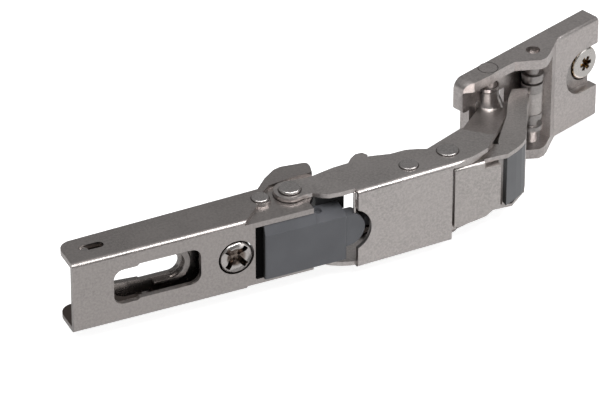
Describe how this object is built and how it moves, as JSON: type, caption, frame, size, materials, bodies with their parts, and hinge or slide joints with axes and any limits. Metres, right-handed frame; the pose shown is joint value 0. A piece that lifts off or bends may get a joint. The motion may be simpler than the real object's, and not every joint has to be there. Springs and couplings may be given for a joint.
{
  "type": "concealed hinge with clamp bracket",
  "caption": "Long-lever concealed hinge: a clip-on arm, a folding lever and link, and a slotted bracket that clamps to a narrow frame door.",
  "frame": {"origin": "centre of the arm's open tail, on the outer face of its web", "axes": "+X from the arm's tail towards the door bracket, +Y from the web into the arm's channel, +Z along the pivot axes"},
  "size_m": [0.1394, 0.046, 0.025],
  "materials": {
    "arm_steel": "nickel-plated, satin",
    "lever_steel": "nickel-plated, satin",
    "bracket_steel": "nickel-plated, satin",
    "pin_steel": "nickel-plated",
    "bright_steel": "bright plated",
    "spring_steel": "oiled",
    "grey_plastic": "fine-grained matt",
    "black_plastic": "matt",
    "screw_steel": "zinc-plated"
  },
  "bodies": {
    "arm": {"hinge_arm": "arm_steel", "catch_pin": "pin_steel", "main_pivot": "bright_steel", "arm_rivet": "bright_steel", "adjusting_slide": "spring_steel", "damper_housing": "grey_plastic", "damper_cylinder": "pin_steel", "ribbed_stop": "black_plastic"},
    "overlay_screw": {"overlay_screw": "screw_steel"},
    "damper": {"damper_slider": "grey_plastic", "damper_rod": "pin_steel"},
    "lever": {"outer_lever": "lever_steel", "lever_rivet_rear": "bright_steel", "lever_rivet_front": "bright_steel", "spring_carrier": "lever_steel", "closing_spring": "spring_steel"},
    "rocker": {"rocker": "lever_steel", "rocker_pin": "pin_steel"},
    "bracket": {"door_bracket": "bracket_steel", "lever_pin": "pin_steel", "link_pin": "pin_steel", "clamp_plate": "pin_steel"},
    "link": {"front_link": "lever_steel", "link_bumper": "grey_plastic"},
    "clamp_screw": {"clamp_screw": "screw_steel"}
  },
  "joints": [
    {"name": "lever_fold", "type": "hinge", "parent": "arm", "child": "lever", "pos_m": [0.0515, 0.007, 0], "axis": [0, 0, 1], "range_deg": [-85, 0]},
    {"name": "bracket_turn", "type": "hinge", "parent": "lever", "child": "bracket", "pos_m": [0.1073, 0.0274, 0], "axis": [0, 0, 1], "range_deg": [-25, 0]},
    {"name": "link_turn", "type": "hinge", "parent": "bracket", "child": "link", "pos_m": [0.11936, 0.0299, 0], "axis": [0, 0, 1], "range_deg": [0, 22.31]},
    {"name": "rocker_turn", "type": "hinge", "parent": "lever", "child": "rocker", "pos_m": [0.0872, 0.0057, 0], "axis": [0, 0, 1], "range_deg": [-47.5, 0]},
    {"name": "damper_press", "type": "slide", "parent": "arm", "child": "damper", "axis": [1, 0, 0], "range_m": [-0.003, 0], "stiffness_N_per_m": 200, "springref_m": 0.002},
    {"name": "overlay_turn", "type": "hinge", "parent": "arm", "child": "overlay_screw", "pos_m": [0.0363, 0, 0.0003], "axis": [0, 1, 0], "continuous": true},
    {"name": "clamp_turn", "type": "hinge", "parent": "bracket", "child": "clamp_screw", "pos_m": [0.13561, 0.03793, 0.00085], "axis": [-0.3486, 0.9373, 0], "continuous": true}
  ],
  "couplings": [
    {"joint": "bracket_turn", "follows": "lever_fold", "ratio": 0.2941},
    {"joint": "link_turn", "follows": "lever_fold", "ratio": -0.2624},
    {"joint": "rocker_turn", "follows": "lever_fold", "ratio": 0.5588}
  ]
}
